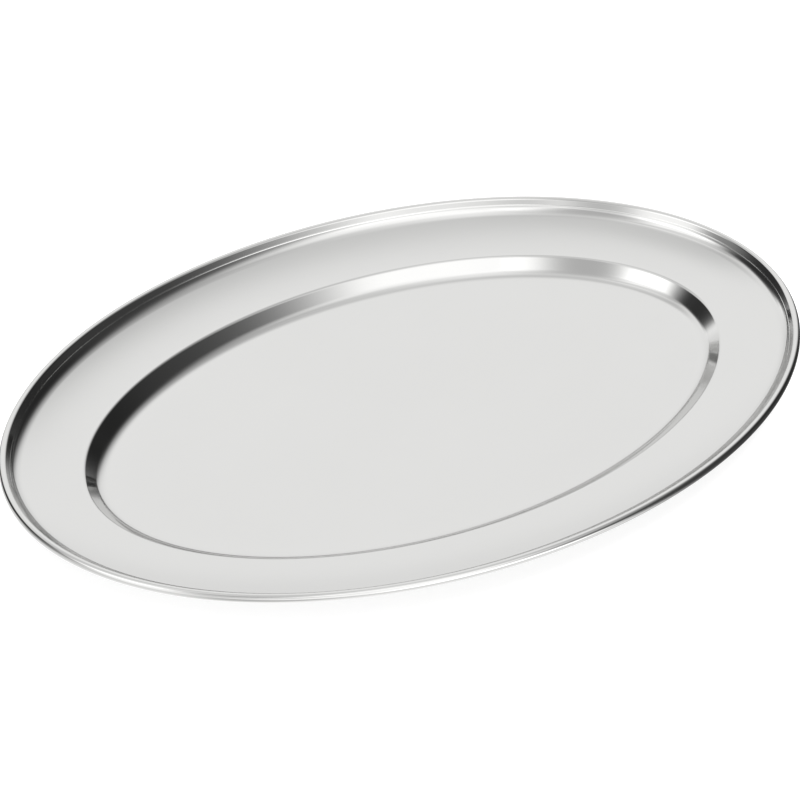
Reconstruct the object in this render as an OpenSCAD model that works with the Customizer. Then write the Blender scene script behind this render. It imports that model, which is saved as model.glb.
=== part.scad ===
// Oval serving tray: one pressed sheet with a sunken well, a raised rim and a rolled edge.
// Millimetres. +Z is up. The origin is at the middle of the flat underside.
// +X runs along the length, +Y along the width.

/* [Overall] */
// Length over the rolled edge
tray_l = 450; // [400:1:500]
// Width over the rolled edge
tray_w = 302; // [290:1:360]
// Height from the resting plane to the top of the rolled edge
tray_h = 23; // [22.5:0.5:23.5]
// Thickness of the sheet
sheet_t = 0.7; // [0.5:0.1:1]

/* [Well] */
// Depth of the well, from the shoulder of the rim down to the floor
well_depth = 8.4; // [8:0.1:9]
// Slope of the well wall, in degrees above level
wall_slope = 44; // [41:1:50]
// Radius of the inside corner between the floor and the wall
fillet_r = 10; // [7:0.5:11]
// Radius of the rounded shoulder between the wall and the rim
shoulder_r = 3.2; // [2:0.2:4]

/* [Rim] */
// Width of the rim, from the outline in to the shoulder
rim_w = 41; // [40:0.5:44]
// Slope of the rim where it meets the cove, in degrees above level
rim_slope = 18; // [18:0.5:19.5]
// Radius of the cove that turns the rim up towards the rolled edge
cove_r = 11; // [9:0.5:11.5]
// Slope of the straight flank above the cove, in degrees above level
cove_slope = 54; // [50:1:56]
// Length of the flank, measured up its slope
flank_l = 3.4; // [2.8:0.2:3.6]

/* [Rolled edge] */
// Outside diameter of the rolled edge
bead_d = 4.6; // [4.2:0.1:5]
// How far round the sheet is rolled, in degrees
roll_sweep = 284; // [200:2:290]

/* [Hidden] */
bead_r = bead_d/2;

// Each section point is [distance outward from the outline, height], so the
// section lies at negative x. A slope of q has the upward normal [-sin(q), cos(q)].
function nrm(q) = [-sin(q), cos(q)];
function hollow(c, r, q) = c - r*nrm(q);
function crown(c, r, q) = c + r*nrm(q);
function steps(n, a, b) = [for (i = [0:n]) a + (b - a)*i/n];

// Rolled edge, seen as a circle whose outermost point lies on the outline.
bead_c = [-bead_r, tray_h - bead_r];
// Flank and cove: both meet their neighbours at the steepest slope.
flank_foot = crown(bead_c, bead_r, cove_slope) - flank_l*[cos(cove_slope), sin(cove_slope)];
cove_c = flank_foot + cove_r*nrm(cove_slope);
rim_out = hollow(cove_c, cove_r, rim_slope);
rim_in = [-rim_w, sheet_t + well_depth];
// Rim: one large arc. Its slope at the shoulder follows from its two end points.
rim_step = rim_out - rim_in;
rim_slope_in = 2*atan(rim_step[1]/rim_step[0]) - rim_slope;
rim_r = rim_step[0]/(sin(rim_slope) - sin(rim_slope_in));
rim_c = rim_out + rim_r*nrm(rim_slope);
// Shoulder, straight wall and floor corner.
shoulder_c = rim_in - shoulder_r*nrm(rim_slope_in);
wall_top = crown(shoulder_c, shoulder_r, wall_slope);
wall_drop = wall_top[1] - sheet_t - fillet_r*(1 - cos(wall_slope));
wall_foot = wall_top - wall_drop*[1/tan(wall_slope), 1];
fillet_c = wall_foot + fillet_r*nrm(wall_slope);

// The section of the sheet, up the food side and back along the underside.
// It is left open at the floor, where the two flat faces close it.
section = concat(
    [for (q = steps(4, 0, wall_slope)) hollow(fillet_c, fillet_r, q)],
    [for (q = steps(3, wall_slope, rim_slope_in)) crown(shoulder_c, shoulder_r, q)],
    [for (q = steps(3, rim_slope_in, rim_slope)) if (q > rim_slope_in) hollow(rim_c, rim_r, q)],
    [for (q = steps(4, rim_slope, cove_slope)) if (q > rim_slope) hollow(cove_c, cove_r, q)],
    [for (i = [0:14]) crown(bead_c, bead_r, cove_slope - roll_sweep*i/14)],
    [for (i = [9:-1:0]) crown(bead_c, bead_r - sheet_t, cove_slope - roll_sweep*i/9)],
    [for (q = steps(4, cove_slope, rim_slope)) if (q > rim_slope) hollow(cove_c, cove_r + sheet_t, q)],
    [for (q = steps(3, rim_slope, rim_slope_in)) if (q > rim_slope_in) hollow(rim_c, rim_r + sheet_t, q)],
    [for (q = steps(3, rim_slope_in, wall_slope)) crown(shoulder_c, shoulder_r - sheet_t, q)],
    [for (q = steps(4, wall_slope, 0)) hollow(fillet_c, fillet_r + sheet_t, q)]
);

// Outline: three arcs to a quarter, tangent where they meet, laid close to an ellipse.
half_l = tray_l/2;
half_w = tray_w/2;
turn_1 = 22.4;
turn_2 = 61.7;
turn_m = (turn_1 + turn_2)/2;
arc_2 = 0.987*pow(half_l*half_w, 2)
    /pow(pow(half_l*cos(turn_m), 2) + pow(half_w*sin(turn_m), 2), 1.5);
rest_l = half_l - arc_2*(cos(turn_1) - cos(turn_2));
rest_w = half_w - arc_2*(sin(turn_2) - sin(turn_1));
det = (1 - cos(turn_1))*(1 - sin(turn_2)) - cos(turn_2)*sin(turn_1);
arc_1 = (rest_l*(1 - sin(turn_2)) - rest_w*cos(turn_2))/det;
arc_3 = (rest_w*(1 - cos(turn_1)) - rest_l*sin(turn_1))/det;
mid_1 = [half_l - arc_1, 0];
mid_2 = mid_1 + (arc_1 - arc_2)*[cos(turn_1), sin(turn_1)];
mid_3 = mid_2 + (arc_2 - arc_3)*[cos(turn_2), sin(turn_2)];

// Stations round the outline, each [arc centre, arc radius, direction of the outward normal].
// Every arc is followed by the next, and its last station is the next one's first.
function stations(c, r, a, b, n) = [for (i = [0:n - 1]) [c, r, a + (b - a)*i/n]];
loop = concat(
    stations(mid_1, arc_1, -turn_1, turn_1, 6),
    stations(mid_2, arc_2, turn_1, turn_2, 8),
    stations(mid_3, arc_3, turn_2, 180 - turn_2, 18),
    stations([-mid_2[0], mid_2[1]], arc_2, 180 - turn_2, 180 - turn_1, 8),
    stations(-mid_1, arc_1, 180 - turn_1, 180 + turn_1, 6),
    stations(-mid_2, arc_2, 180 + turn_1, 180 + turn_2, 8),
    stations(-mid_3, arc_3, 180 + turn_2, 360 - turn_2, 18),
    stations([mid_2[0], -mid_2[1]], arc_2, 360 - turn_2, 360 - turn_1, 8)
);

// The section carried round the loop, as one closed skin.
module swept_sheet() {
    n = len(loop);
    m = len(section);
    polyhedron(
        points = [for (s = loop) for (p = section)
            [s[0][0] + (s[1] + p[0])*cos(s[2]), s[0][1] + (s[1] + p[0])*sin(s[2]), p[1]]],
        faces = concat(
            [for (i = [0:n - 1]) for (j = [0:m - 2])
                let (k = (i + 1)%n) [i*m + j, k*m + j, k*m + j + 1, i*m + j + 1]],
            [[for (i = [n - 1:-1:0]) i*m]],
            [[for (i = [0:n - 1]) i*m + m - 1]]
        ),
        convexity = 6
    );
}

module tray_shell() {
    color([0.76, 0.76, 0.75])
        swept_sheet();
}

tray_shell();
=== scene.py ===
"""Oval serving tray: polished pressed stainless sheet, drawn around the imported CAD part."""
import math

import bpy
import bmesh
import numpy as np
from mathutils import Matrix, Vector


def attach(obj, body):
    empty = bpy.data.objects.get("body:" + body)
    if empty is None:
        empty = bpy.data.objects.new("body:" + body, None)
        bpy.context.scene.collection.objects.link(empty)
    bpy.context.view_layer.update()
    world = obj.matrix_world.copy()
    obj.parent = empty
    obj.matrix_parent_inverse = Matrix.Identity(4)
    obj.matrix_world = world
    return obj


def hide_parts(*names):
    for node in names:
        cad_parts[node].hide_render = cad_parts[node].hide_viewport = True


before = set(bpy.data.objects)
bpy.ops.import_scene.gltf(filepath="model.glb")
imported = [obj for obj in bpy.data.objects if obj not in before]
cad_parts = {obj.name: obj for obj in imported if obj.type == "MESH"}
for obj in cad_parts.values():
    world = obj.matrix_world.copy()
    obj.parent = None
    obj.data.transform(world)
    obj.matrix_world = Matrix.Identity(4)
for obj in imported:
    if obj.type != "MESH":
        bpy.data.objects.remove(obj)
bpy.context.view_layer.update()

MM = 0.001


# ---------------------------------------------------------------- helpers

def nrm(q):
    """Upward normal of a surface that climbs outward at q degrees, in (outward, up)."""
    a = math.radians(q)
    return np.array([-math.sin(a), math.cos(a)])


class Tree:
    """Short hand for building a node tree."""

    def __init__(self, nt):
        self.nt = nt
        nt.nodes.clear()

    def node(self, kind, **props):
        n = self.nt.nodes.new(kind)
        for k, v in props.items():
            setattr(n, k, v)
        return n

    def link(self, a, b):
        self.nt.links.new(a, b)

    def put(self, socket, value):
        if isinstance(value, bpy.types.NodeSocket):
            self.link(value, socket)
        else:
            socket.default_value = value

    def math(self, op, a, b=None, c=None, clamp=False):
        n = self.node("ShaderNodeMath", operation=op, use_clamp=clamp)
        self.put(n.inputs[0], a)
        if b is not None:
            self.put(n.inputs[1], b)
        if c is not None:
            self.put(n.inputs[2], c)
        return n.outputs[0]

    def span(self, value, a, b, lo=0.0, hi=1.0, smooth=True):
        n = self.node("ShaderNodeMapRange", clamp=True)
        n.interpolation_type = "SMOOTHSTEP" if smooth else "LINEAR"
        self.put(n.inputs["Value"], value)
        n.inputs["From Min"].default_value = a
        n.inputs["From Max"].default_value = b
        n.inputs["To Min"].default_value = lo
        n.inputs["To Max"].default_value = hi
        return n.outputs["Result"]

    def dot(self, v, d):
        n = self.node("ShaderNodeVectorMath", operation="DOT_PRODUCT")
        self.link(v, n.inputs[0])
        n.inputs[1].default_value = d
        return n.outputs["Value"]

    def ramp(self, value, stops, interp="LINEAR"):
        n = self.node("ShaderNodeValToRGB")
        cr = n.color_ramp
        cr.interpolation = interp
        while len(cr.elements) < len(stops):
            cr.elements.new(0.5)
        for e, (p, v) in zip(cr.elements, stops):
            e.position = p
            e.color = (v, v, v, 1) if not isinstance(v, tuple) else (*v, 1)
        self.put(n.inputs["Fac"], value)
        return n.outputs["Color"]

    def mapping(self, vec, scale=(1, 1, 1), rot=(0, 0, 0), loc=(0, 0, 0)):
        n = self.node("ShaderNodeMapping")
        self.link(vec, n.inputs["Vector"])
        n.inputs["Scale"].default_value = scale
        n.inputs["Rotation"].default_value = rot
        n.inputs["Location"].default_value = loc
        return n.outputs["Vector"]

    def noise(self, vec, scale, detail=2.0, rough=0.5, distort=0.0):
        n = self.node("ShaderNodeTexNoise")
        self.link(vec, n.inputs["Vector"])
        n.inputs["Scale"].default_value = scale
        n.inputs["Detail"].default_value = detail
        n.inputs["Roughness"].default_value = rough
        n.inputs["Distortion"].default_value = distort
        return n.outputs["Fac"]

    def mix(self, fac, a, b):
        n = self.node("ShaderNodeMix", data_type="RGBA")
        self.put(n.inputs[0], fac)
        self.put(n.inputs[6], a)
        self.put(n.inputs[7], b)
        return n.outputs[2]


# ---------------------------------------------------------------- section of the sheet

L, W, H, T = 450.0, 302.0, 23.0, 0.7
WELL, WALL, FIL, SHO = 8.4, 44.0, 10.0, 3.2
RIM, RIM_Q, COVE, FLANK_Q, FLANK = 41.0, 18.0, 11.0, 54.0, 3.4
BEAD, ROLL = 2.3, 284.0

bead_c = np.array([-BEAD, H - BEAD])
foot = bead_c + BEAD * nrm(FLANK_Q) - FLANK * np.array([math.cos(math.radians(FLANK_Q)), math.sin(math.radians(FLANK_Q))])
cove_c = foot + COVE * nrm(FLANK_Q)
rim_out = cove_c - COVE * nrm(RIM_Q)
rim_in = np.array([-RIM, T + WELL])
step = rim_out - rim_in
RIM_IN_Q = 2 * math.degrees(math.atan(step[1] / step[0])) - RIM_Q
rim_r = step[0] / (math.sin(math.radians(RIM_Q)) - math.sin(math.radians(RIM_IN_Q)))
rim_c = rim_out + rim_r * nrm(RIM_Q)
sho_c = rim_in - SHO * nrm(RIM_IN_Q)
wall_top = sho_c + SHO * nrm(WALL)
drop = wall_top[1] - T - FIL * (1 - math.cos(math.radians(WALL)))
wall_foot = wall_top - drop * np.array([1 / math.tan(math.radians(WALL)), 1.0])
fil_c = wall_foot + FIL * nrm(WALL)


def build_section():
    """Points up the food side, round the roll and back along the underside.

    Each is (outward, up, normal outward, normal up, polish, wear)."""
    pts = []

    def put(p, n, polish, wear):
        pts.append((p[0], p[1], n[0], n[1], polish, wear))

    def arc(c, r, a, b, n, hollow, polish, wear, first=False, side=1):
        for i in range(0 if first else 1, n + 1):
            q = a + (b - a) * i / n
            m = nrm(q)
            put(c - r * m if hollow else c + r * m, m * side, polish, wear)

    def lerp(n, a, b, q, polish, wear, side=1):
        for i in range(1, n + 1):
            put(a + (b - a) * i / n, nrm(q) * side, polish, wear)

    def crease(p, q, wide, high):
        """A low raised line along the sheet, left where the rolling stopped: it starts at p, on a slope q."""
        along, up_ = np.array([math.cos(math.radians(q)), math.sin(math.radians(q))]), nrm(q)
        for i in range(1, 13):
            f = i / 12
            dz = high * math.pi / wide * math.sin(2 * math.pi * f)
            n = up_ - along * dz
            put(p + along * wide * f + up_ * high * 0.5 * (1 - math.cos(2 * math.pi * f)), n / np.linalg.norm(n), 0.85, 0.9)

    # food side
    arc(fil_c, FIL, 0, WALL, 36, True, 0.5, 0.0, first=True)
    lerp(5, wall_foot, wall_top, WALL, 1.0, 0.1)
    arc(sho_c, SHO, WALL, RIM_IN_Q, 22, False, 0.9, 0.8)
    arc(rim_c, rim_r, RIM_IN_Q, RIM_Q, 20, True, 0.0, 0.0)
    arc(cove_c, COVE, RIM_Q, FLANK_Q, 30, True, 0.95, 0.6)
    crease(foot, FLANK_Q, 0.9, 0.07)
    lerp(5, foot + 0.9 * np.array([math.cos(math.radians(FLANK_Q)), math.sin(math.radians(FLANK_Q))]),
         bead_c + BEAD * nrm(FLANK_Q), FLANK_Q, 1.0, 0.3)
    arc(bead_c, BEAD, FLANK_Q, FLANK_Q - ROLL, 64, False, 1.0, 1.0)
    # end of the roll, its corners just eased
    q = FLANK_Q - ROLL
    face = np.array([math.cos(math.radians(q)), math.sin(math.radians(q))])
    put(bead_c + (BEAD - 0.15) * nrm(q) + 0.1 * face, face, 0.0, 0.4)
    put(bead_c + (BEAD - T + 0.15) * nrm(q) + 0.1 * face, face, 0.0, 0.4)
    # back along the hidden side
    arc(bead_c, BEAD - T, FLANK_Q - ROLL, FLANK_Q, 32, False, 0.0, 0.0, first=True, side=-1)
    lerp(2, bead_c + (BEAD - T) * nrm(FLANK_Q), foot - T * nrm(FLANK_Q), FLANK_Q, 0.0, 0.0, side=-1)
    arc(cove_c, COVE + T, FLANK_Q, RIM_Q, 12, True, 0.0, 0.0, side=-1)
    arc(rim_c, rim_r + T, RIM_Q, RIM_IN_Q, 12, True, 0.0, 0.0, side=-1)
    arc(sho_c, SHO - T, RIM_IN_Q, WALL, 12, False, 0.0, 0.2, side=-1)
    lerp(3, wall_top - T * nrm(WALL), wall_foot - T * nrm(WALL), WALL, 0.0, 0.0, side=-1)
    arc(fil_c, FIL + T, WALL, 0, 20, True, 0.0, 0.3, side=-1)
    return np.array(pts)


def build_tray():
    """The sheet swept round a true ellipse, every point set in from it by the same distance."""
    sec = build_section()
    n = 300
    a, b = L / 2, W / 2
    t = np.arange(n) * 2 * math.pi / n
    E = np.c_[a * np.cos(t), b * np.sin(t)]
    N = np.c_[b * np.cos(t), a * np.sin(t)]
    N /= np.linalg.norm(N, axis=1)[:, None]
    m = len(sec)
    seg = np.linalg.norm(np.roll(E, -1, 0) - E, axis=1)
    along = np.r_[0, np.cumsum(seg)]                     # n + 1 values, so that the seam closes
    d = np.linalg.norm(np.diff(sec[:, :2], axis=0), axis=1)
    across = np.r_[0, np.cumsum(d)]

    co, no, polish, wear = [], [], [], []
    for i in range(n):
        xy = E[i][None] + N[i][None] * sec[:, :1]
        co.append(np.c_[xy, sec[:, 1]])
        no.append(np.c_[N[i][None] * sec[:, 2:3], sec[:, 3]])
        polish.append(sec[:, 4])
        wear.append(sec[:, 5])
    co, no = [np.concatenate(co)], [np.concatenate(no)]
    polish, wear = [np.concatenate(polish)], [np.concatenate(wear)]

    faces, uvs = [], []
    for i in range(n):
        k = (i + 1) % n
        for j in range(m - 1):
            faces.append((i * m + j, k * m + j, k * m + j + 1, i * m + j + 1))
            uvs.append(((along[i], across[j]), (along[i + 1], across[j]), (along[i + 1], across[j + 1]), (along[i], across[j + 1])))

    # the two flat faces of the floor, as rings that close on the middle
    rings = 14
    for top in (True, False):
        j0 = 0 if top else m - 1
        edge = E + N * sec[j0, 0]
        z = sec[j0, 1]
        prev = [i * m + j0 for i in range(n)]
        v0 = 0.0 if top else across[-1]
        for r in range(1, rings + 1):
            s = 1 - r / (rings + 0.0)
            base = sum(len(c) for c in co)
            if r < rings:
                xy = edge * s
                co.append(np.c_[xy, np.full(n, z)])
                no.append(np.tile([0, 0, 1.0 if top else -1.0], (n, 1)))
                polish.append(np.full(n, 0.0))
                wear.append(np.full(n, 0.0))
                cur = [base + i for i in range(n)]
            else:
                co.append(np.array([[0, 0, z]]))
                no.append(np.array([[0, 0, 1.0 if top else -1.0]]))
                polish.append(np.zeros(1))
                wear.append(np.zeros(1))
                cur = None
            va, vb = (v0 - (r - 1) * 8.0, v0 - r * 8.0) if top else (v0 + (r - 1) * 8.0, v0 + r * 8.0)
            for i in range(n):
                k = (i + 1) % n
                if cur is not None:
                    f = (cur[i], cur[k], prev[k], prev[i])
                    uv = ((along[i], vb), (along[i + 1], vb), (along[i + 1], va), (along[i], va))
                else:
                    f = (base, prev[k], prev[i])
                    uv = ((along[i], vb), (along[i + 1], va), (along[i], va))
                if not top:
                    f, uv = f[::-1], uv[::-1]
                faces.append(f)
                uvs.append(uv)
            prev = cur
    co = np.concatenate(co) * MM
    no = np.concatenate(no)

    me = bpy.data.meshes.new("tray_sheet")
    me.from_pydata(co.tolist(), [], [f[::-1] for f in faces])
    uvl = me.uv_layers.new(name="sheet")
    flat = []
    for f in uvs:
        for p in f[::-1]:
            flat += [p[0] * MM, p[1] * MM]
    uvl.data.foreach_set("uv", flat)
    for name, vals in (("polish", np.concatenate(polish)), ("wear", np.concatenate(wear))):
        at = me.attributes.new(name, "FLOAT", "POINT")
        at.data.foreach_set("value", vals.astype(np.float32))
    me.shade_smooth()
    me.normals_split_custom_set_from_vertices([tuple(v) for v in no])
    me.update()
    ob = bpy.data.objects.new("tray_sheet", me)
    bpy.context.scene.collection.objects.link(ob)
    return ob


# ---------------------------------------------------------------- materials

def steel():
    """Polished pressed stainless: mirror-like on wall and roll, a little softer on the wide flats."""
    mat = bpy.data.materials.new("polished_stainless")
    mat.use_nodes = True
    t = Tree(mat.node_tree)
    out = t.node("ShaderNodeOutputMaterial")
    p = t.node("ShaderNodeBsdfPrincipled")
    t.link(p.outputs[0], out.inputs[0])
    tc = t.node("ShaderNodeTexCoord")
    uv = t.node("ShaderNodeUVMap", uv_map="sheet").outputs["UV"]
    pos = tc.outputs["Object"]
    polish = t.node("ShaderNodeAttribute", attribute_name="polish").outputs["Fac"]
    wear = t.node("ShaderNodeAttribute", attribute_name="wear").outputs["Fac"]

    # broad, slow changes in the finish, and wipe marks
    cloud = t.noise(pos, 11.0, 3.0, 0.55)
    smudge = t.noise(t.mapping(pos, rot=(0, 0, 0.5), scale=(1.0, 1.7, 1.0)), 34.0, 5.0, 0.62, 0.6)
    # polishing lines: lengthwise on the flat floor, and round the sheet elsewhere
    line_f = t.noise(t.mapping(pos, scale=(30, 2600, 1)), 1.0, 3.0, 0.65)
    line_r = t.noise(t.mapping(uv, scale=(24, 2400, 1)), 1.0, 3.0, 0.65)
    # hairline scratches from use, at four headings
    hair = None
    for ang, sx, sy, lo, hi in ((0.35, 26, 2400, 0.70, 0.77), (-0.9, 34, 2900, 0.71, 0.78), (1.35, 40, 3200, 0.71, 0.78), (2.2, 30, 2700, 0.72, 0.79)):
        h = t.span(t.noise(t.mapping(pos, scale=(sx, sy, sy), rot=(0, 0, ang)), 1.0, 1.0, 0.4), lo, hi)
        hair = h if hair is None else t.math("MAXIMUM", hair, h)
    # small drawing marks where the sheet was bent hardest
    grit = t.noise(t.mapping(uv, scale=(420, 1500, 1)), 1.0, 4.0, 0.7)
    rub = t.math("MULTIPLY", wear, t.span(grit, 0.42, 0.72))

    tone = t.math("MULTIPLY_ADD", cloud, 0.6, 0.2)
    col = t.mix(tone, (0.605, 0.604, 0.596, 1), (0.637, 0.636, 0.629, 1))
    col = t.mix(t.math("MULTIPLY", hair, 0.10), col, (0.52, 0.52, 0.515, 1))
    col = t.mix(t.math("MULTIPLY", rub, 0.12), col, (0.70, 0.70, 0.69, 1))
    t.link(col, p.inputs["Base Color"])
    p.inputs["Metallic"].default_value = 1.0

    r = t.span(polish, 0.0, 1.0, 0.150, 0.062, smooth=False)
    r = t.math("MULTIPLY_ADD", t.math("SUBTRACT", line_f, 0.5), 0.030, r)
    r = t.math("MULTIPLY_ADD", t.math("SUBTRACT", line_r, 0.5), 0.030, r)
    r = t.math("MULTIPLY_ADD", t.math("SUBTRACT", smudge, 0.5), 0.045, r)
    r = t.math("MULTIPLY_ADD", hair, 0.05, r)
    r = t.math("MULTIPLY_ADD", rub, 0.10, r, clamp=True)
    t.link(r, p.inputs["Roughness"])

    b1 = t.node("ShaderNodeBump")
    b1.inputs["Strength"].default_value = 0.15
    b1.inputs["Distance"].default_value = 0.000006
    t.link(t.math("ADD", line_r, line_f), b1.inputs["Height"])
    b2 = t.node("ShaderNodeBump")
    b2.inputs["Strength"].default_value = 0.20
    b2.inputs["Distance"].default_value = 0.000006
    b2.invert = True
    t.link(t.math("ADD", hair, rub), b2.inputs["Height"])
    t.link(b1.outputs[0], b2.inputs["Normal"])
    t.link(b2.outputs[0], p.inputs["Normal"])
    return mat


def floor_material():
    mat = bpy.data.materials.new("studio_floor")
    mat.use_nodes = True
    t = Tree(mat.node_tree)
    out = t.node("ShaderNodeOutputMaterial")
    p = t.node("ShaderNodeBsdfPrincipled")
    t.link(p.outputs[0], out.inputs[0])
    # a lit white table: shadows on it stay faint
    p.inputs["Base Color"].default_value = (0.5, 0.5, 0.5, 1)
    p.inputs["Emission Color"].default_value = (1, 1, 1, 1)
    p.inputs["Emission Strength"].default_value = 0.68
    p.inputs["Roughness"].default_value = 0.9
    p.inputs["Specular IOR Level"].default_value = 0.1
    return mat


# ---------------------------------------------------------------- tray

tray = build_tray()
tray.data.materials.append(steel())
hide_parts("tray_shell")
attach(tray, "root")

# ---------------------------------------------------------------- camera

AZ = math.radians(27.45)
EL = math.radians(39.41)
RIGHT = Vector((math.cos(AZ), -math.sin(AZ), 0))
AWAY = Vector((math.sin(AZ), math.cos(AZ), 0))
UP = Vector((0, 0, 1))
DIST = 1.2049
cam_data = bpy.data.cameras.new("camera")
cam = bpy.data.objects.new("camera", cam_data)
bpy.context.scene.collection.objects.link(cam)
look = AWAY * math.cos(EL) - Vector((0, 0, 1)) * math.sin(EL)
target = Vector((0, 0, T * MM))
cam.location = target - look * DIST
cam.rotation_euler = look.to_track_quat("-Z", "Y").to_euler()
cam_data.sensor_fit = "HORIZONTAL"
cam_data.sensor_width = 36.0
cam_data.lens = 36.0 * 2246.3 / 800.0
cam_data.shift_x = -(413.38 - 400.0) / 800.0
cam_data.shift_y = (406.76 - 400.0) / 800.0
cam_data.clip_start = 0.05
cam_data.clip_end = 50
bpy.context.scene.camera = cam

# ---------------------------------------------------------------- floor

fm = bpy.data.meshes.new("floor")
s = 6.0
fm.from_pydata([(-s, -s, 0), (s, -s, 0), (s, s, 0), (-s, s, 0)], [], [(0, 1, 2, 3)])
floor = bpy.data.objects.new("floor", fm)
bpy.context.scene.collection.objects.link(floor)
floor.location.z = -0.00005
fm.materials.append(floor_material())
floor.visible_glossy = False

# ---------------------------------------------------------------- light

# A white tent round the tray, open and dark to the left and right, with softboxes behind the camera.
# Each lobe: azimuth (0 away from the camera, 90 to its right), elevation, turn, half width, half
# height, natural log of the gain, edge hardness.
TENT = (-0.118, -0.245, 0.240)
LOBES = (
    (72.7, 1.6, 61.7, 0.880, 0.611, -2.62, 4.0),
    (54.9, 34.0, 9.4, 0.309, 0.605, -0.89, 1.5),
    (-63.8, 20.0, -38.0, 0.488, 0.269, -3.11, 2.5),
    (151.7, 11.8, 3.8, 0.679, 0.389, 0.85, 5.5),
    (-139.1, 57.0, -6.2, 0.508, 0.889, 0.57, 4.5),
    (-5.2, 37.5, 74.6, 0.445, 0.764, 0.36, 2.1),
    (-159.4, 58.7, -3.9, 0.196, 0.582, -0.82, 1.6),
    (-32.7, 67.6, -22.7, 0.234, 0.346, -0.37, 2.1),
    (136.1, 53.9, -20.9, 0.519, 0.272, 1.11, 1.7),
    (176.1, 8.3, 107.8, 1.006, 0.280, -0.32, 4.0),
    (-45.4, 15.5, -61.1, 0.233, 0.099, 2.50, 0.9),
    (35.0, -16.9, -21.9, 0.929, 0.182, 0.32, 1.1),
    (-97.6, 16.2, 125.2, 0.405, 0.175, -0.90, 2.1),
    (-84.4, 56.6, 14.8, 0.148, 0.403, -0.33, 6.9),
    (-131.6, 46.5, -7.6, 0.571, 0.110, 0.35, 7.0),
    (39.1, 7.7, -50.8, 0.050, 0.269, -0.74, 2.3),
)

world = bpy.data.worlds.new("tent")
bpy.context.scene.world = world
world.use_nodes = True
t = Tree(world.node_tree)
wout = t.node("ShaderNodeOutputWorld")
bg = t.node("ShaderNodeBackground")
t.link(bg.outputs[0], wout.inputs[0])
vec = t.node("ShaderNodeTexCoord").outputs["Generated"]
up = t.dot(vec, (0, 0, 1))
gain = t.math("MULTIPLY_ADD", t.math("MULTIPLY", up, up), TENT[2], t.math("MULTIPLY_ADD", up, TENT[1], TENT[0]))
for az, el, turn, sx, sy, amp, hard in LOBES:
    a, e, q = math.radians(az), math.radians(el), math.radians(turn)
    c = RIGHT * (math.sin(a) * math.cos(e)) + AWAY * (math.cos(a) * math.cos(e)) + UP * math.sin(e)
    h = RIGHT * math.cos(a) - AWAY * math.sin(a)
    u = -RIGHT * (math.sin(a) * math.sin(e)) - AWAY * (math.cos(a) * math.sin(e)) + UP * math.cos(e)
    e1 = (h * math.cos(q) + u * math.sin(q)) / sx
    e2 = (u * math.cos(q) - h * math.sin(q)) / sy
    p1, p2 = t.dot(vec, e1), t.dot(vec, e2)
    r2 = t.math("MULTIPLY_ADD", p1, p1, t.math("MULTIPLY_ADD", p2, p2, 1e-6))
    lobe = t.math("EXPONENT", t.math("MULTIPLY", t.math("POWER", r2, hard), -1.0))
    front = t.math("GREATER_THAN", t.dot(vec, c), 0.0)
    gain = t.math("MULTIPLY_ADD", t.math("MULTIPLY", lobe, front), amp, gain)
strength = t.math("EXPONENT", gain)
t.link(strength, bg.inputs["Strength"])
bg.inputs["Color"].default_value = (1, 1, 1, 1)

# an overhead soft light for the floor alone
sun_data = bpy.data.lights.new("overhead", "SUN")
sun_data.energy = 2.4
sun_data.angle = math.radians(50)
sun = bpy.data.objects.new("overhead", sun_data)
bpy.context.scene.collection.objects.link(sun)
sun.rotation_euler = (0.0, 0.0, 0.0)
sun.visible_glossy = False

bpy.context.scene.view_settings.view_transform = "Standard"
